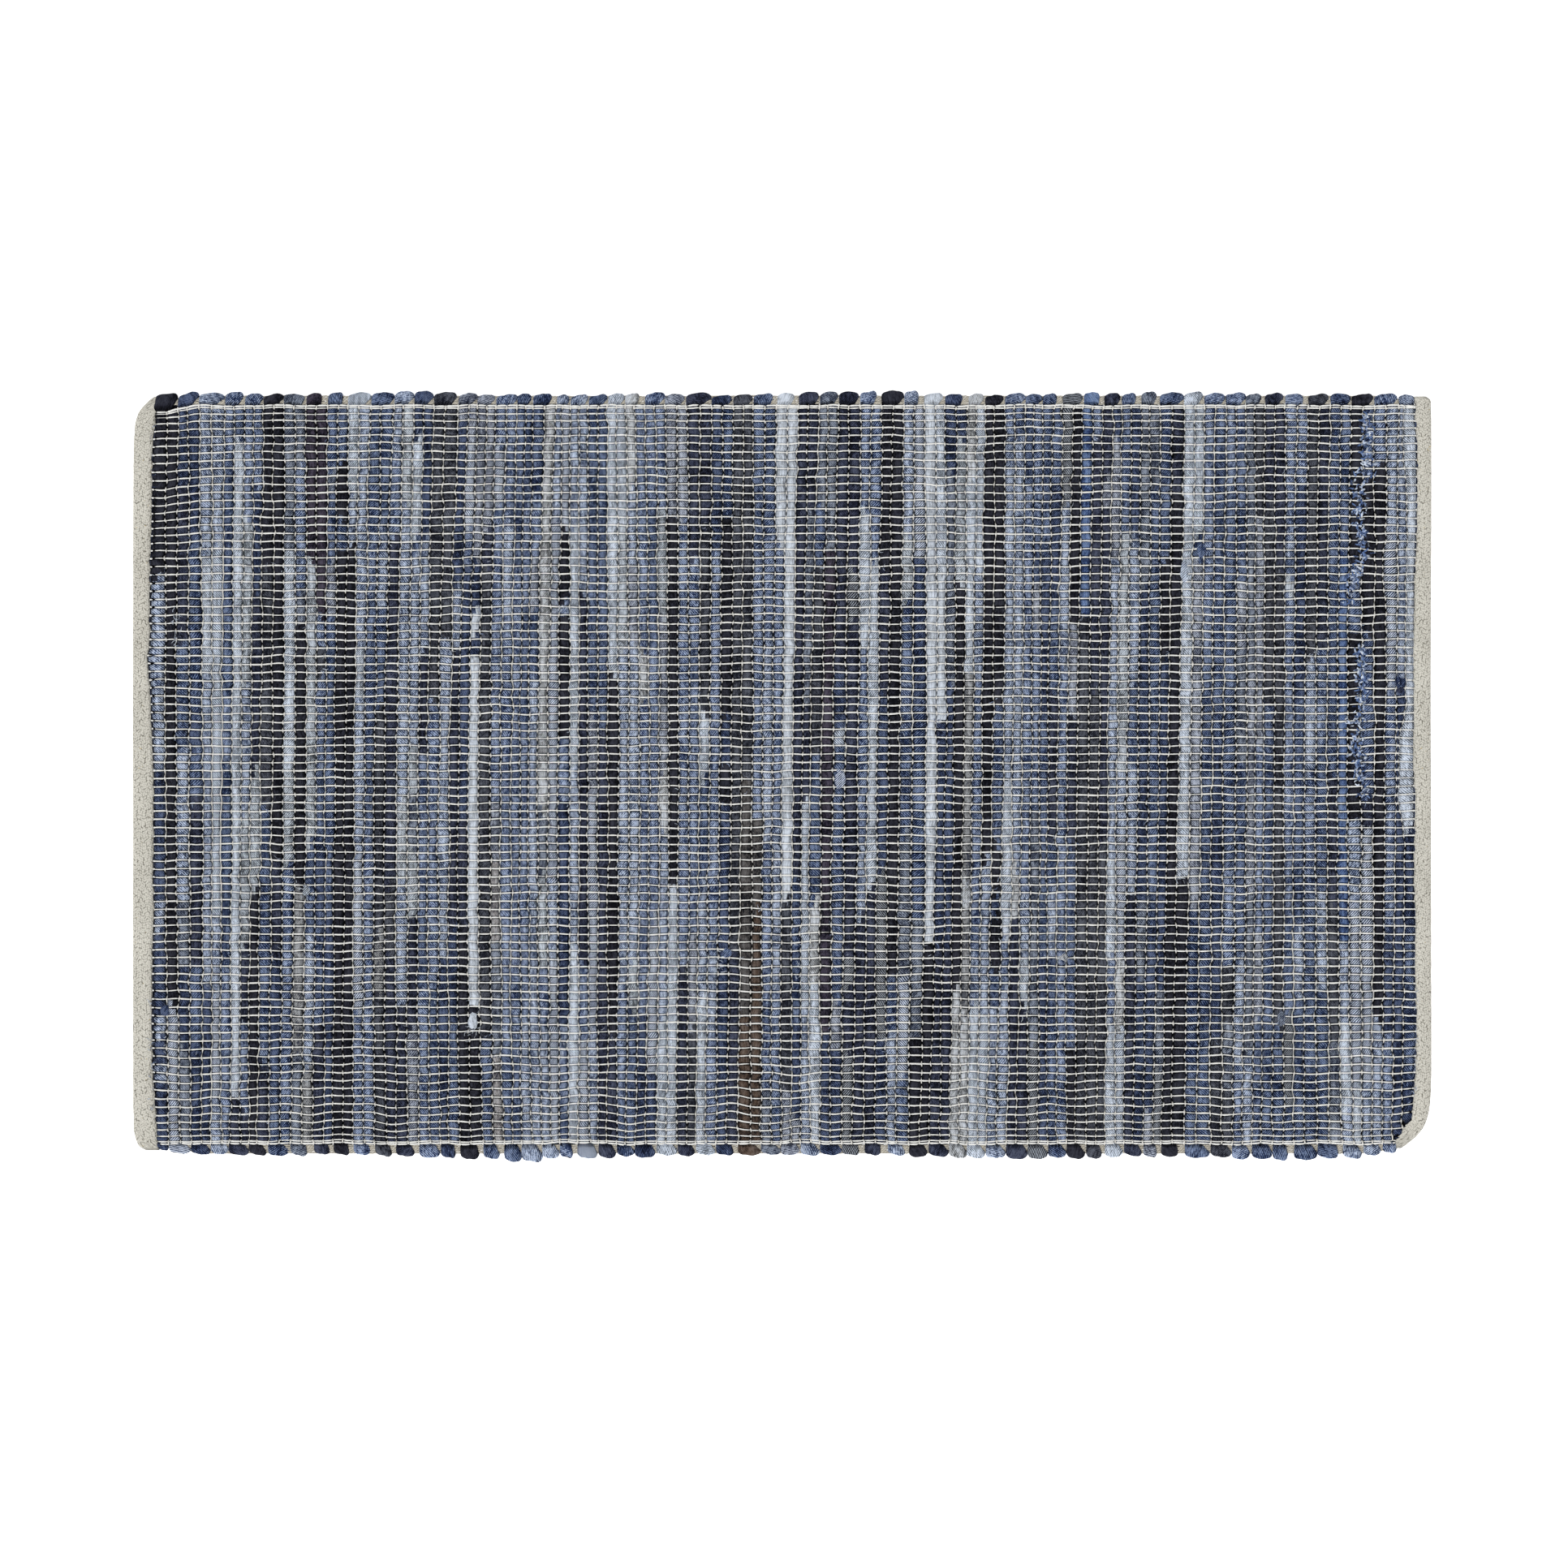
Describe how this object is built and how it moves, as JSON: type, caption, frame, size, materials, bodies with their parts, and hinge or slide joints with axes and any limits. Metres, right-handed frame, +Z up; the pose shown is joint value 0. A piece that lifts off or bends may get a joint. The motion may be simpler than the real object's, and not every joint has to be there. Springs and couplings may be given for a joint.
{
  "type": "woven rag accent rug",
  "caption": "Flat rectangular accent rug, hand-woven from cotton and denim rag strips on cream cotton warp, with looped long edges and a cotton tape over each short end.",
  "frame": {"origin": "under the middle of the rug, on the surface that it lies on", "axes": "+X along the rug, across its ribs, towards the end with the larger rounded corner; +Y across the rug; +Z up from the surface"},
  "size_m": [0.864, 0.5162, 0.0064],
  "materials": {
    "rag_weave": "matt cotton and denim rag strips in mixed indigo, navy, black, grey and washed blue",
    "cotton_tape": "matt knitted cotton tape, ecru"
  },
  "bodies": {
    "root": {"field": "rag_weave", "tape_left": "cotton_tape", "tape_right": "cotton_tape"}
  },
  "joints": []
}
